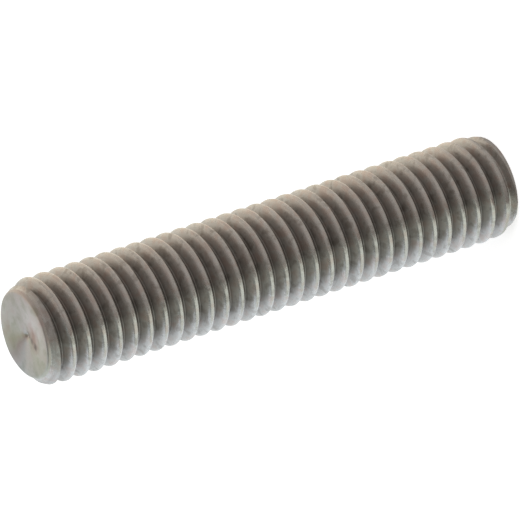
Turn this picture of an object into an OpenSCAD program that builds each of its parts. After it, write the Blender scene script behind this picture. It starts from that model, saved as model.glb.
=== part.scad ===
// Fully threaded stud bolt, standing on its foot end with its axis along Z.
// It is one solid bar. A right-hand thread runs from end to end and each end is chamfered.
// The foot end is plain and flat. The top end has a flat ring round a shallow dish,
// with a small centre mark in the middle of the dish.

/* [Thread] */
// Outside diameter over the thread crests
thread_d = 7.8; // [6:0.1:12]
// Distance from one turn to the next
pitch = 1.25; // [1:0.05:1.5]
// Width of the flat along each crest
crest_flat = 0.26; // [0.1:0.01:0.35]
// Width of the flat along the bottom of each groove
root_flat = 0.12; // [0.08:0.01:0.3]
// Turn of the thread about the axis, in degrees
thread_turn = 124; // [0:1:359]

/* [Bar] */
// Length over both ends
stud_length = 39.2; // [25:0.1:50]

/* [Foot end] */
// Length of the chamfer along the bar
foot_chamfer_length = 1.7; // [1:0.05:2.5]
// How far the chamfer cuts in below the crests at the rim
foot_chamfer_drop = 0.35; // [0.2:0.05:0.9]

/* [Top end] */
// Length of the chamfer along the bar
top_chamfer_length = 1.3; // [0.8:0.05:2.5]
// How far the chamfer cuts in below the crests at the rim
top_chamfer_drop = 0.75; // [0.2:0.05:1]

/* [Top face] */
// Width of the flat ring between the rim and the dish
ring_w = 0.75; // [0.4:0.05:1]
// Depth that the dish would reach at its middle
dish_depth = 0.3; // [0.1:0.05:0.6]
// Diameter of the centre mark
mark_d = 0.8; // [0.4:0.1:1.2]
// Depth of the centre mark below the dish
mark_depth = 0.25; // [0.1:0.05:0.5]

/* [Hidden] */

steel = [0.55, 0.52, 0.48];

// Angle between the two flanks of a groove
flank_angle = 60;
flank_rise = (pitch - crest_flat - root_flat) / 2;
thread_r = thread_d / 2;
root_r = thread_r - flank_rise / tan(flank_angle / 2);

// One turn of the thread's section, as [radius, height] from one groove to the next
section = [
    [root_r, 0],
    [root_r, root_flat],
    [thread_r, root_flat + flank_rise],
    [thread_r, root_flat + flank_rise + crest_flat]
];
corners = len(section);

// Flats in one turn of the helix, and the turns it needs to pass both ends of the bar
steps = 30;
turns_below = 2;
turns = ceil(stud_length / pitch) + turns_below + 1;
// Corners in one column of the helix, from its bottom to its top
column = turns * corners;

// The turned outline stands this far clear of the crests between its chamfers
outline_clear = 0.5;
outline_facets = 96;

// Corner k of the column at step s round the helix
function helix_point(s, k) =
    let (
        angle = thread_turn + 360 * s / steps,
        corner = section[k % corners],
        lift = pitch * (floor(k / corners) - turns_below + s / steps)
    )
    [corner[0] * cos(angle), corner[0] * sin(angle), corner[1] + lift];

function point_number(s, k) = s * column + k;

// The last column meets the first one a turn higher
function turn_shift(s) = s == steps - 1 ? corners : 0;

// Two triangles that join corners k and k + 1 of one column to the next column
function facet(s, k) =
    let (
        next = (s + 1) % steps,
        shift = turn_shift(s)
    )
    [
        [point_number(s, k), point_number(s, k + 1), point_number(next, k + shift)],
        [point_number(s, k + 1), point_number(next, k + 1 + shift), point_number(next, k + shift)]
    ];

// Helical thread with no ends of its own: a ramp round the axis closes it below and above
module thread_form() {
    last = steps - 1;
    below = steps * column;
    above = below + 1;
    points = [
        for (s = [0:last], k = [0:column - 1]) helix_point(s, k),
        [0, 0, helix_point(0, 0)[2]],
        [0, 0, helix_point(last, column - 1)[2]]
    ];
    sides = [
        for (s = [0:last], k = [0:column - 2 - turn_shift(s)]) each facet(s, k)
    ];
    ramp_below = [
        for (s = [0:last - 1]) [below, point_number(s, 0), point_number(s + 1, 0)],
        [below, point_number(last, 0), point_number(0, corners)],
        for (k = [0:corners - 1]) [below, point_number(0, k + 1), point_number(0, k)]
    ];
    top = column - 1;
    ramp_above = [
        for (s = [0:last - 1]) [above, point_number(s + 1, top), point_number(s, top)],
        [above, point_number(0, top), point_number(last, top - corners)],
        for (k = [top - corners:top - 1]) [above, point_number(last, k), point_number(last, k + 1)]
    ];
    polyhedron(points, [each sides, each ramp_below, each ramp_above]);
}

// Radius of the flat end inside a chamfer
function rim_radius(chamfer_drop) = thread_r - chamfer_drop;

// Chamfer line from the rim out past the crests, as [radius, distance from the end face]
function chamfer_line(chamfer_length, chamfer_drop) = [
    [rim_radius(chamfer_drop), 0],
    [thread_r + outline_clear, chamfer_length * (1 + outline_clear / chamfer_drop)]
];

// Top end from the chamfer in to the axis, as [radius, depth below the end face]
function top_outline() =
    let (
        rim_r = rim_radius(top_chamfer_drop),
        dish_r = rim_r - ring_w,
        mark_r = mark_d / 2,
        mark_rim = dish_depth * (1 - mark_r / dish_r),
        chamfer = chamfer_line(top_chamfer_length, top_chamfer_drop)
    )
    [chamfer[1], chamfer[0], [dish_r, 0], [mark_r, mark_rim], [0, mark_rim + mark_depth]];

// Turned bar with both ends finished, a little wider than the thread between the chamfers
module turned_bar() {
    rotate_extrude($fn = outline_facets)
        polygon([
            [0, 0],
            each chamfer_line(foot_chamfer_length, foot_chamfer_drop),
            for (corner = top_outline()) [corner[0], stud_length - corner[1]]
        ]);
}

module stud() {
    color(steel)
        intersection() {
            turned_bar();
            thread_form();
        }
}

stud();
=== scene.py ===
import math

import bmesh
import bpy
from mathutils import Matrix, Quaternion, Vector


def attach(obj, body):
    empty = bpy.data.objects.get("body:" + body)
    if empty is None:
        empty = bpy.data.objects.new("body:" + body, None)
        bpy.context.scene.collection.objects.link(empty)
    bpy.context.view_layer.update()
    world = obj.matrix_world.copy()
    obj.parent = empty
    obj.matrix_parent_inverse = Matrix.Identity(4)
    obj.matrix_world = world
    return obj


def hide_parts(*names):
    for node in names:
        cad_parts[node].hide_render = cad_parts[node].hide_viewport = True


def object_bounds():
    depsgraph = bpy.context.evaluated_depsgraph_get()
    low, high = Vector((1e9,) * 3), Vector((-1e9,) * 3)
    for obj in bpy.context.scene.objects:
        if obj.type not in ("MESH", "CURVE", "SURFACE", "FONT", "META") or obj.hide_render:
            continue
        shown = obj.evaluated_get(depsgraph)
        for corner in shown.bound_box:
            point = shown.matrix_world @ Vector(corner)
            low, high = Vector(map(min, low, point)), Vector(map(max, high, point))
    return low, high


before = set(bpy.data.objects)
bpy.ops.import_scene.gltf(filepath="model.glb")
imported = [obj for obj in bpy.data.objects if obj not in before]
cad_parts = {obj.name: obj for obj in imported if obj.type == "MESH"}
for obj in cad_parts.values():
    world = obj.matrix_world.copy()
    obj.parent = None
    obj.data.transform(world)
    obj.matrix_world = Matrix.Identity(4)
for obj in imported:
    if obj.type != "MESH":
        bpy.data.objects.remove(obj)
cad_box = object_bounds()

MM = 0.001

# Sizes of the stud, as the frame has them
THREAD_R = min(cad_box[1][0], cad_box[1][1])
PITCH = 1.25 * MM
CREST_FLAT = 0.26 * MM
ROOT_FLAT = 0.12 * MM
FLANK_ANGLE = math.radians(30)
THREAD_TURN = math.radians(124)
STUD_LENGTH = cad_box[1][2] - cad_box[0][2]
FOOT_CHAMFER = (1.7 * MM, 0.35 * MM)
TOP_CHAMFER = (1.3 * MM, 0.75 * MM)
RING_W = 0.75 * MM
DISH_DEPTH = 0.3 * MM
MARK_R = 0.4 * MM
MARK_DEPTH = 0.25 * MM

# How far the middle of a crest stands above its corners
CREST_CROWN = 0.012 * MM
# Where the corners of crest and root start to round
SHOULDER_REACH = 0.1 * MM
ROOT_REACH = 0.05 * MM
# Power of the chamfers' curve: 1 is a plain cone
CHAMFER_BULGE = 1.5
# Radii of the rolled rims
FOOT_ROUND = 0.08 * MM
TOP_ROUND = 0.25 * MM

# How finely things are cut up
STEPS_PER_TURN = 108
RIM_STEPS = 4
DISH_STEPS = 7
MARK_STEPS = 5
FOOT_RINGS = (3.1 * MM, 2 * MM, 1 * MM, 0.3 * MM)
# Distances that count as nothing, in comparing and in joining the turns
TINY = 0.001 * MM
JOIN_REACH = 0.002 * MM
SHARP_ANGLE = math.radians(38)


# ---------- stud ----------

def round_corners(bm, corners, reach, segments):
    bmesh.ops.bevel(bm, geom=corners, offset=reach, offset_type="OFFSET", affect="VERTICES",
                    segments=segments, profile=0.5, material=-1)


def thread_section(bm, turns):
    """Outline of grooves and slightly crowned crests up the X side, with rounded corners."""
    rise = (PITCH - CREST_FLAT - ROOT_FLAT) / 2
    root_r = THREAD_R - rise / math.tan(FLANK_ANGLE)
    shoulder_r = THREAD_R - CREST_CROWN
    crest_z = ROOT_FLAT + rise
    outline = ((root_r, 0), (root_r, ROOT_FLAT), (shoulder_r, crest_z),
               (THREAD_R, crest_z + CREST_FLAT / 2), (shoulder_r, crest_z + CREST_FLAT))
    points = [bm.verts.new((radius, 0, z + (turn - 2) * PITCH))
              for turn in range(turns) for radius, z in outline]
    for low, high in zip(points, points[1:]):
        bm.edges.new((low, high))
    shoulders = [v for v in points[1:-1] if abs(v.co.x - shoulder_r) < TINY]
    roots = [v for v in points[1:-1] if abs(v.co.x - root_r) < TINY]
    round_corners(bm, shoulders, SHOULDER_REACH, 3)
    round_corners(bm, roots, ROOT_REACH, 2)
    flanks = [e for e in bm.edges if e.calc_length() > rise]
    bmesh.ops.subdivide_edges(bm, edges=flanks, cuts=2)


def spin_thread(bm):
    turns = math.ceil(STUD_LENGTH / PITCH) + 3
    thread_section(bm, turns)
    bmesh.ops.rotate(bm, verts=bm.verts, cent=(0, 0, 0), matrix=Matrix.Rotation(THREAD_TURN, 3, "Z"))
    bmesh.ops.spin(bm, geom=bm.verts[:] + bm.edges[:], cent=(0, 0, 0), axis=(0, 0, 1),
                   dvec=(0, 0, PITCH / STEPS_PER_TURN), angle=math.tau, steps=STEPS_PER_TURN,
                   use_duplicate=False, use_merge=False)
    bmesh.ops.remove_doubles(bm, verts=bm.verts, dist=JOIN_REACH)


def chamfer_radius(distance, chamfer):
    """Largest radius that the chamfer leaves at this distance from the end face."""
    length, drop = chamfer
    left = min(max(1 - distance / length, 0), 1)
    return THREAD_R - drop * left ** CHAMFER_BULGE


def turn_chamfers(bm):
    for v in bm.verts:
        radius = math.hypot(v.co.x, v.co.y)
        limit = min(chamfer_radius(v.co.z, FOOT_CHAMFER), chamfer_radius(STUD_LENGTH - v.co.z, TOP_CHAMFER))
        if radius > limit > 0:
            v.co.x *= limit / radius
            v.co.y *= limit / radius


def cut_end(bm, height, outwards):
    """Cuts the bar square at this height and returns the rim's edges."""
    geom = bm.verts[:] + bm.edges[:] + bm.faces[:]
    cut = bmesh.ops.bisect_plane(bm, geom=geom, dist=TINY, plane_co=(0, 0, height),
                                 plane_no=(0, 0, outwards), clear_outer=True)
    return [e for e in cut["geom_cut"] if isinstance(e, bmesh.types.BMEdge)]


def grow_ring(bm, edges, radius, height):
    """Extrudes a ring of edges to a circle of this radius at this height."""
    grown = bmesh.ops.extrude_edge_only(bm, edges=edges)["geom"]
    for v in grown:
        if isinstance(v, bmesh.types.BMVert):
            across = Vector((v.co.x, v.co.y, 0)).normalized() * radius
            v.co = (across.x, across.y, height)
    return [e for e in grown if isinstance(e, bmesh.types.BMEdge)]


def round_rim(bm, edges, rounding, outwards):
    """Rolls the rim over a quarter circle, each point from its own radius."""
    for i in range(1, RIM_STEPS + 1):
        before = math.radians(90 / RIM_STEPS * (i - 1))
        angle = math.radians(90 / RIM_STEPS * i)
        grown = bmesh.ops.extrude_edge_only(bm, edges=edges)["geom"]
        for v in grown:
            if isinstance(v, bmesh.types.BMVert):
                radius = math.hypot(v.co.x, v.co.y)
                inset = rounding * (math.cos(before) - math.cos(angle))
                v.co.x *= 1 - inset / radius
                v.co.y *= 1 - inset / radius
                v.co.z += outwards * rounding * (math.sin(angle) - math.sin(before))
        edges = [e for e in grown if isinstance(e, bmesh.types.BMEdge)]
    return edges


def face_end(bm, edges, rings):
    """Closes an end with rings of (radius, height); the last one is filled."""
    for radius, height in rings:
        edges = grow_ring(bm, edges, radius, height)
    bmesh.ops.contextual_create(bm, geom=edges)


def dish_rings():
    """Rings of (radius, height) from the dish's edge down into the centre mark."""
    dish_r = THREAD_R - TOP_CHAMFER[1] - RING_W
    rings = [(dish_r, STUD_LENGTH)]
    for i in range(1, DISH_STEPS + 1):
        radius = dish_r + (MARK_R - dish_r) * i / DISH_STEPS
        rings.append((radius, STUD_LENGTH - DISH_DEPTH * (1 - radius / dish_r)))
    mark_z = rings[-1][1]
    for i in range(1, MARK_STEPS):
        rings.append((MARK_R * (1 - i / MARK_STEPS), mark_z - MARK_DEPTH * i / MARK_STEPS))
    return rings


def make_stud(steel, end_steel):
    bm = bmesh.new()
    spin_thread(bm)
    turn_chamfers(bm)
    foot_rim = round_rim(bm, cut_end(bm, FOOT_ROUND, -1), FOOT_ROUND, -1)
    lathe_top = STUD_LENGTH - TOP_ROUND
    top_rim = round_rim(bm, cut_end(bm, lathe_top, 1), TOP_ROUND, 1)
    thread_faces = {face for face in bm.faces if face.calc_center_median().z < lathe_top}
    face_end(bm, foot_rim, [(radius, 0) for radius in FOOT_RINGS])
    face_end(bm, top_rim, dish_rings())
    for face in bm.faces:
        face.material_index = 0 if face in thread_faces else 1
    bmesh.ops.recalc_face_normals(bm, faces=bm.faces)
    mesh = bpy.data.meshes.new("stud_bar")
    bm.to_mesh(mesh)
    bm.free()
    mesh.materials.append(steel)
    mesh.materials.append(end_steel)
    stud = bpy.data.objects.new("stud_bar", mesh)
    bpy.context.scene.collection.objects.link(stud)
    mesh.shade_smooth()
    mesh.set_sharp_from_angle(angle=SHARP_ANGLE)
    return stud


# ---------- materials ----------

# Metal colour from the root of the groove to the crest: painted shade, darkest at the root and lightest at
# the crest
GROOVE_SHADE_TO_CREST = (
    (0.0, (0.3, 0.29, 0.28)),
    (0.2, (0.49, 0.48, 0.47)),
    (0.7, (0.63, 0.62, 0.605)),
    (0.88, (0.72, 0.71, 0.69)),
    (1.0, (0.83, 0.82, 0.8)),
)
STREAK_COLOUR = (0.62, 0.57, 0.52)
MOTTLE_TINTS = (
    (0.36, (0.78, 0.75, 0.73)),
    (0.47, (1, 1, 1)),
    (0.64, (0.92, 0.83, 0.8)),
)
FLANK_ROUGHNESS = 0.35
CREST_ROUGHNESS = 0.27
END_ROUGHNESS = 0.36
# Brown stain and two dark pits on the end face, in millimetres across it
STAIN = (-0.35, -1.2)
PITS = ((-0.5, -0.65), (-0.95, -1.05))
# Painted reflection: tints round the end face standing for the turned face's wedge-shaped highlights, from
# the -X side by way of -Y
END_REFLECTION_SECTORS = (
    (0.0, (1.0, 1.0, 0.98)),
    (0.12, (0.92, 0.94, 0.84)),
    (0.3, (0.97, 0.92, 0.9)),
    (0.5, (1.0, 0.95, 0.94)),
    (0.7, (0.92, 0.95, 0.93)),
    (0.8, (0.66, 0.66, 0.55)),
    (0.88, (0.6, 0.57, 0.55)),
    (0.94, (0.8, 0.82, 0.84)),
    (1.0, (1.0, 1.0, 0.98)),
)
# Colours of the end face: bare mottle, stain, pits and turning rings
END_MOTTLE = (
    (0.35, (0.54, 0.54, 0.48)),
    (0.5, (0.68, 0.66, 0.64)),
    (0.66, (0.66, 0.59, 0.57)),
)
STAIN_COLOUR = (0.38, 0.22, 0.16)
PIT_COLOUR = (0.12, 0.09, 0.08)
RING_COLOUR = (0.5, 0.48, 0.45)
# How far below the crest the painted groove shade reaches, and the spans near the two ends where that shade
# is lifted to a lighter level, in mm
GROOVE_SHADE_DEPTH = 0.75
TOP_SHADE_LIFT = (1.0, 0.4)
FOOT_SHADE_LIFT = (1.1, 0.4)
SHADE_LIFT_LEVEL = 0.85
BUMP_HEIGHT = 0.02 * MM
THREAD_BUMP = 0.35
END_BUMP = 0.3
END_ANISOTROPY = 0.75


def new_material(name):
    material = bpy.data.materials.new(name)
    material.use_nodes = True
    return material, material.node_tree.nodes, material.node_tree.links


def add_node(tree, kind, **settings):
    node = tree.nodes.new(kind)
    for name, value in settings.items():
        setattr(node, name, value)
    return node


def maths(tree, operation, *terms):
    """A Math node whose terms are sockets or plain numbers."""
    node = add_node(tree, "ShaderNodeMath", operation=operation)
    for socket, term in zip(node.inputs, terms):
        if isinstance(term, bpy.types.NodeSocket):
            tree.links.new(term, socket)
        else:
            socket.default_value = term
    return node.outputs[0]


def spread(tree, value, low, high, to_low, to_high):
    """Carries a value's range low to high over to another range."""
    node = add_node(tree, "ShaderNodeMapRange", clamp=True)
    tree.links.new(value, node.inputs["Value"])
    for name, number in zip(("From Min", "From Max", "To Min", "To Max"), (low, high, to_low, to_high)):
        node.inputs[name].default_value = number
    return node.outputs["Result"]


def colour_ramp(tree, value, stops):
    node = add_node(tree, "ShaderNodeValToRGB")
    tree.links.new(value, node.inputs["Fac"])
    marks = node.color_ramp.elements
    while len(marks) < len(stops):
        marks.new(0.5)
    for mark, (position, colour) in zip(marks, stops):
        mark.position = position
        mark.color = (*colour, 1)
    return node.outputs["Color"]


def blend_colours(tree, amount, first, second, blend_type="MIX"):
    node = add_node(tree, "ShaderNodeMix", data_type="RGBA", blend_type=blend_type)
    sockets = (node.inputs["Factor"], node.inputs[6], node.inputs[7])
    for socket, term in zip(sockets, (amount, first, second)):
        if isinstance(term, bpy.types.NodeSocket):
            tree.links.new(term, socket)
        elif isinstance(term, tuple):
            socket.default_value = (*term, 1)
        else:
            socket.default_value = term
    return node.outputs[2]


def noise(tree, where, scale, detail, roughness=0.55):
    node = add_node(tree, "ShaderNodeTexNoise")
    tree.links.new(where, node.inputs["Vector"])
    node.inputs["Scale"].default_value = scale
    node.inputs["Detail"].default_value = detail
    node.inputs["Roughness"].default_value = roughness
    return node.outputs["Fac"]


def bar_places(tree):
    """Place on the bar in millimetres, distance from the axis, and a vector along the rolling marks."""
    coords = add_node(tree, "ShaderNodeTexCoord")
    scaled = add_node(tree, "ShaderNodeVectorMath", operation="SCALE")
    tree.links.new(coords.outputs["Object"], scaled.inputs[0])
    scaled.inputs["Scale"].default_value = 1 / MM
    parts = add_node(tree, "ShaderNodeSeparateXYZ")
    tree.links.new(scaled.outputs[0], parts.inputs[0])
    x, y, z = parts.outputs
    squares = maths(tree, "ADD", maths(tree, "MULTIPLY", x, x), maths(tree, "MULTIPLY", y, y))
    radius = maths(tree, "SQRT", squares)
    safe_radius = maths(tree, "MAXIMUM", radius, 0.01)
    rolled = add_node(tree, "ShaderNodeCombineXYZ")
    tree.links.new(maths(tree, "DIVIDE", x, safe_radius), rolled.inputs[0])
    tree.links.new(maths(tree, "DIVIDE", y, safe_radius), rolled.inputs[1])
    across = maths(tree, "ADD", maths(tree, "MULTIPLY", radius, 9.0), maths(tree, "MULTIPLY", z, 0.9))
    tree.links.new(across, rolled.inputs[2])
    return scaled.outputs[0], radius, rolled.outputs[0]


def steel_material():
    """Rolled thread: dull grooves darkened with painted shade, greyer flanks and the crests lightest."""
    material, nodes, links = new_material("rolled_steel")
    tree = material.node_tree
    shader = nodes["Principled BSDF"]
    shader.inputs["Metallic"].default_value = 1.0
    place, radius, rolled = bar_places(tree)
    mottle = noise(tree, place, 1.3, 5)
    fine = noise(tree, place, 5.0, 3)
    streaks = noise(tree, rolled, 2.4, 5, 0.6)
    wander = maths(tree, "ADD", maths(tree, "MULTIPLY", mottle, 0.2), maths(tree, "MULTIPLY", fine, 0.06))
    height = maths(tree, "ADD", radius, maths(tree, "SUBTRACT", wander, 0.13))
    crest_r = THREAD_R / MM
    level = add_node(tree, "ShaderNodeSeparateXYZ")
    links.new(place, level.inputs[0])
    length = STUD_LENGTH / MM
    # Painted shade: the metal's colour darkens with depth below the crest, and is lifted to a lighter level
    # near both ends
    top_lift = spread(tree, level.outputs["Z"], length - TOP_SHADE_LIFT[0], length - TOP_SHADE_LIFT[1], 0, SHADE_LIFT_LEVEL)
    foot_lift = spread(tree, level.outputs["Z"], *FOOT_SHADE_LIFT, 0, SHADE_LIFT_LEVEL)
    depth = spread(tree, height, crest_r - GROOVE_SHADE_DEPTH, crest_r, 0, 1)
    depth = maths(tree, "MAXIMUM", depth, maths(tree, "MAXIMUM", top_lift, foot_lift))
    groove_shaded = colour_ramp(tree, depth, GROOVE_SHADE_TO_CREST)
    streaked = spread(tree, streaks, 0.35, 0.7, 0, 0.35)
    stained = blend_colours(tree, streaked, groove_shaded, STREAK_COLOUR, "MULTIPLY")
    tint = colour_ramp(tree, mottle, MOTTLE_TINTS)
    links.new(blend_colours(tree, 1.0, stained, tint, "MULTIPLY"), shader.inputs["Base Color"])
    smooth = spread(tree, depth, 0.55, 1, FLANK_ROUGHNESS, CREST_ROUGHNESS)
    grain = spread(tree, fine, 0.3, 0.7, -0.07, 0.07)
    links.new(maths(tree, "ADD", smooth, grain), shader.inputs["Roughness"])
    bump = add_node(tree, "ShaderNodeBump")
    bump.inputs["Strength"].default_value = THREAD_BUMP
    bump.inputs["Distance"].default_value = BUMP_HEIGHT
    links.new(maths(tree, "ADD", streaks, fine), bump.inputs["Height"])
    links.new(bump.outputs[0], shader.inputs["Normal"])
    return material


def distance_from(tree, place, spot):
    node = add_node(tree, "ShaderNodeVectorMath", operation="DISTANCE")
    tree.links.new(place, node.inputs[0])
    node.inputs[1].default_value = (*spot, STUD_LENGTH / MM)
    return node.outputs["Value"]


def end_material():
    """Cut end: fine turning rings, a little stain, a darker, browner middle, and painted reflection tints
    round the face by angle.
    """
    material, nodes, links = new_material("turned_end_steel")
    tree = material.node_tree
    shader = nodes["Principled BSDF"]
    shader.inputs["Metallic"].default_value = 1.0
    shader.inputs["Roughness"].default_value = END_ROUGHNESS
    shader.inputs["Anisotropic"].default_value = END_ANISOTROPY
    place, _, rolled = bar_places(tree)
    axes = add_node(tree, "ShaderNodeVectorMath", operation="CROSS_PRODUCT")
    links.new(place, axes.inputs[0])
    axes.inputs[1].default_value = (0, 0, 1)
    along = add_node(tree, "ShaderNodeVectorMath", operation="NORMALIZE")
    links.new(axes.outputs[0], along.inputs[0])
    links.new(along.outputs[0], shader.inputs["Tangent"])
    mottle = noise(tree, place, 0.8, 4)
    rings = noise(tree, rolled, 3.0, 4, 0.6)
    stain = noise(tree, place, 1.7, 3)
    middle = spread(tree, maths(tree, "ADD", distance_from(tree, place, STAIN), stain), 0.7, 1.7, 1, 0)
    # Painted reflection: tints by angle round the axis, standing for the turned face's wedge-shaped
    # highlights
    turned = add_node(tree, "ShaderNodeTexGradient", gradient_type="RADIAL")
    links.new(place, turned.inputs["Vector"])
    reflection_angle = maths(tree, "ADD", turned.outputs["Fac"], maths(tree, "MULTIPLY", mottle, 0.12))
    painted_reflection = colour_ramp(tree, reflection_angle, END_REFLECTION_SECTORS)
    base = colour_ramp(tree, mottle, END_MOTTLE)
    spotted = blend_colours(tree, maths(tree, "MULTIPLY", middle, 0.85), base, STAIN_COLOUR)
    for pit in PITS:
        near_pit = maths(tree, "ADD", distance_from(tree, place, pit), maths(tree, "MULTIPLY", stain, 0.2))
        spotted = blend_colours(tree, spread(tree, near_pit, 0.22, 0.48, 0.9, 0), spotted, PIT_COLOUR)
    ringed = blend_colours(tree, spread(tree, rings, 0.4, 0.7, 0, 0.3), spotted, RING_COLOUR)
    links.new(blend_colours(tree, 1.0, ringed, painted_reflection, "MULTIPLY"), shader.inputs["Base Color"])
    bump = add_node(tree, "ShaderNodeBump")
    bump.inputs["Strength"].default_value = END_BUMP
    bump.inputs["Distance"].default_value = BUMP_HEIGHT
    links.new(maths(tree, "ADD", rings, maths(tree, "MULTIPLY", mottle, 2)), bump.inputs["Height"])
    links.new(bump.outputs[0], shader.inputs["Normal"])
    return material


def paper_material():
    """Pale floor: diffuse, and lifted to the backdrop's white where it is seen or mirrored."""
    material, nodes, links = new_material("pale_floor")
    tree = material.node_tree
    nodes.remove(nodes["Principled BSDF"])
    diffuse = nodes.new("ShaderNodeBsdfDiffuse")
    diffuse.inputs["Color"].default_value = FLOOR_COLOUR
    lift = nodes.new("ShaderNodeEmission")
    links.new(maths(tree, "MULTIPLY", seen_rays(tree), FLOOR_LIFT), lift.inputs["Strength"])
    both = nodes.new("ShaderNodeAddShader")
    links.new(diffuse.outputs[0], both.inputs[0])
    links.new(lift.outputs[0], both.inputs[1])
    links.new(both.outputs[0], nodes["Material Output"].inputs["Surface"])
    return material


def seen_rays(tree):
    """1 for camera, glossy and transmission rays, and 0 for the rest."""
    path = add_node(tree, "ShaderNodeLightPath")
    seen = maths(tree, "MAXIMUM", path.outputs["Is Camera Ray"], path.outputs["Is Glossy Ray"])
    return maths(tree, "MAXIMUM", seen, path.outputs["Is Transmission Ray"])


def tent_material():
    """Glow of a light tent: warm grey on the room's side, and pale on the other."""
    material, nodes, links = new_material("tent_glow")
    tree = material.node_tree
    nodes.remove(nodes["Principled BSDF"])
    coords = add_node(tree, "ShaderNodeTexCoord")
    turn = add_node(tree, "ShaderNodeMapping")
    turn.inputs["Rotation"].default_value = (0, 0, -math.atan2(ROOM_SIDE.y, ROOM_SIDE.x))
    links.new(coords.outputs["Object"], turn.inputs["Vector"])
    round_axis = add_node(tree, "ShaderNodeTexGradient", gradient_type="RADIAL")
    links.new(turn.outputs[0], round_axis.inputs["Vector"])
    low = colour_ramp(tree, round_axis.outputs["Fac"], LOW_GLOW)
    high = colour_ramp(tree, round_axis.outputs["Fac"], HIGH_GLOW)
    height = add_node(tree, "ShaderNodeSeparateXYZ")
    links.new(coords.outputs["Object"], height.inputs[0])
    raised = spread(tree, height.outputs["Z"], GLOW_CHANGE[0] * TENT_R, GLOW_CHANGE[1] * TENT_R, 0, 1)
    glow = nodes.new("ShaderNodeEmission")
    links.new(blend_colours(tree, raised, low, high), glow.inputs["Color"])
    links.new(glow.outputs[0], nodes["Material Output"].inputs["Surface"])
    return material


# ---------- studio ----------

FLOOR_R = 0.6
FLOOR_COLOUR = (0.85, 0.85, 0.85, 1)
FLOOR_LIFT = 0.55
TENT_R = 0.25
# Heights, as shares of its radius, between which the tent's low glow turns into its high glow
GLOW_CHANGE = (0.45, 0.75)
TENT_FLOOR_Z = 0.02 * MM
# Brightness of the surroundings, as light and as what is seen
WORLD_GLOW = (0.6, 1.0)
LAMP_PLACE = (0.1, -0.1, 0.25)
LAMP_SIZE = 0.2
LAMP_POWER = 0.2
# Horizontal direction in which the room's warm side lies
ROOM_SIDE = Vector((0.812, -0.583, 0))
# Glow round the stud, from opposite the room's side, by way of the front, the room and the back
LOW_GLOW = (
    (0.0, (0.84, 0.91, 0.97)),
    (0.04, (0.84, 0.91, 0.97)),
    (0.06, (0.62, 0.66, 0.64)),
    (0.24, (0.68, 0.72, 0.65)),
    (0.26, (0.2, 0.185, 0.17)),
    (0.36, (0.33, 0.31, 0.29)),
    (0.5, (0.37, 0.345, 0.32)),
    (0.62, (0.52, 0.475, 0.425)),
    (0.7, (0.82, 0.735, 0.62)),
    (0.75, (0.98, 0.91, 0.76)),
    (0.82, (0.75, 0.78, 0.78)),
    (1.0, (0.84, 0.91, 0.97)),
)
HIGH_GLOW = (
    (0.0, (0.78, 0.85, 0.91)),
    (0.04, (0.78, 0.85, 0.91)),
    (0.06, (0.22, 0.24, 0.23)),
    (0.245, (0.24, 0.25, 0.225)),
    (0.26, (0.24, 0.215, 0.205)),
    (0.36, (0.3, 0.275, 0.26)),
    (0.5, (0.34, 0.31, 0.295)),
    (0.62, (0.44, 0.4, 0.36)),
    (0.7, (0.72, 0.65, 0.56)),
    (0.78, (0.66, 0.63, 0.585)),
    (0.9, (0.62, 0.63, 0.62)),
    (1.0, (0.78, 0.85, 0.91)),
)


def stage_object(name, bm, material, seen=True):
    mesh = bpy.data.meshes.new(name)
    bm.to_mesh(mesh)
    bm.free()
    mesh.materials.append(material)
    thing = bpy.data.objects.new(name, mesh)
    bpy.context.scene.collection.objects.link(thing)
    if not seen:
        thing.visible_camera = False
        thing.visible_shadow = False
        thing.visible_diffuse = False
    return thing


def make_floor():
    bm = bmesh.new()
    bmesh.ops.create_circle(bm, cap_ends=True, segments=64, radius=FLOOR_R)
    return stage_object("floor", bm, paper_material())


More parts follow.
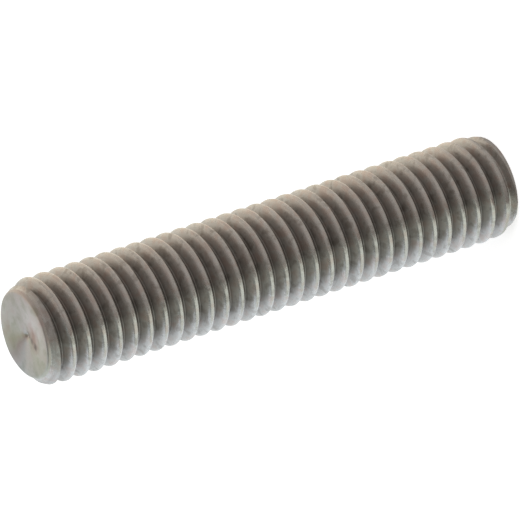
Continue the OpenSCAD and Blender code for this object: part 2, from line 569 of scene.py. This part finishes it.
def make_tent():
    """Half a ball over the stud and a disc under it, which only the metal's gloss sees."""
    glow = tent_material()
    bm = bmesh.new()
    bmesh.ops.create_uvsphere(bm, u_segments=48, v_segments=24, radius=TENT_R)
    geom = bm.verts[:] + bm.edges[:] + bm.faces[:]
    bmesh.ops.bisect_plane(bm, geom=geom, plane_co=(0, 0, 0), plane_no=(0, 0, -1), clear_outer=True)
    stage_object("tent", bm, glow, seen=False)
    bm = bmesh.new()
    bmesh.ops.create_circle(bm, cap_ends=True, segments=64, radius=TENT_R)
    bmesh.ops.translate(bm, verts=bm.verts, vec=(0, 0, TENT_FLOOR_Z))
    stage_object("tent_floor", bm, glow, seen=False)


def make_world():
    world = bpy.data.worlds.new("studio")
    bpy.context.scene.world = world
    world.use_nodes = True
    tree = world.node_tree
    background = tree.nodes["Background"]
    background.inputs["Color"].default_value = (1, 1, 1, 1)
    tree.links.new(spread(tree, seen_rays(tree), 0, 1, *WORLD_GLOW), background.inputs["Strength"])


def make_lamp():
    light = bpy.data.lights.new("soft_key", "AREA")
    light.shape = "DISK"
    light.size = LAMP_SIZE
    light.energy = LAMP_POWER
    lamp = bpy.data.objects.new("soft_key", light)
    lamp.location = LAMP_PLACE
    aim = Vector((0, 0, STUD_LENGTH / 2)) - lamp.location
    lamp.rotation_mode = "QUATERNION"
    lamp.rotation_quaternion = aim.to_track_quat("-Z", "Y")
    lamp.visible_camera = False
    lamp.visible_glossy = False
    bpy.context.scene.collection.objects.link(lamp)


# ---------- camera ----------

CAMERA_LIFT = math.radians(27)
CAMERA_ROLL = math.radians(-108.07)
CAMERA_DISTANCE = 453.0 * MM
CAMERA_LENS = 441.3
AIM_OFFSET = (-0.12 * MM, -0.1 * MM)


def make_camera():
    back = Vector((0, -math.cos(CAMERA_LIFT), math.sin(CAMERA_LIFT)))
    turn = back.to_track_quat("Z", "Y") @ Quaternion((0, 0, 1), CAMERA_ROLL)
    data = bpy.data.cameras.new("camera")
    data.lens = CAMERA_LENS
    data.sensor_width = 36
    data.clip_end = 10
    camera = bpy.data.objects.new("camera", data)
    camera.rotation_mode = "QUATERNION"
    camera.rotation_quaternion = turn
    middle = Vector((0, 0, STUD_LENGTH / 2))
    camera.location = middle + back * CAMERA_DISTANCE + turn @ Vector((*AIM_OFFSET, 0))
    bpy.context.scene.collection.objects.link(camera)
    bpy.context.scene.camera = camera


bpy.context.scene.view_settings.view_transform = "Standard"
make_camera()
stud_bar = make_stud(steel_material(), end_material())
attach(stud_bar, "root")
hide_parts("stud")
make_floor()
make_tent()
make_world()
make_lamp()
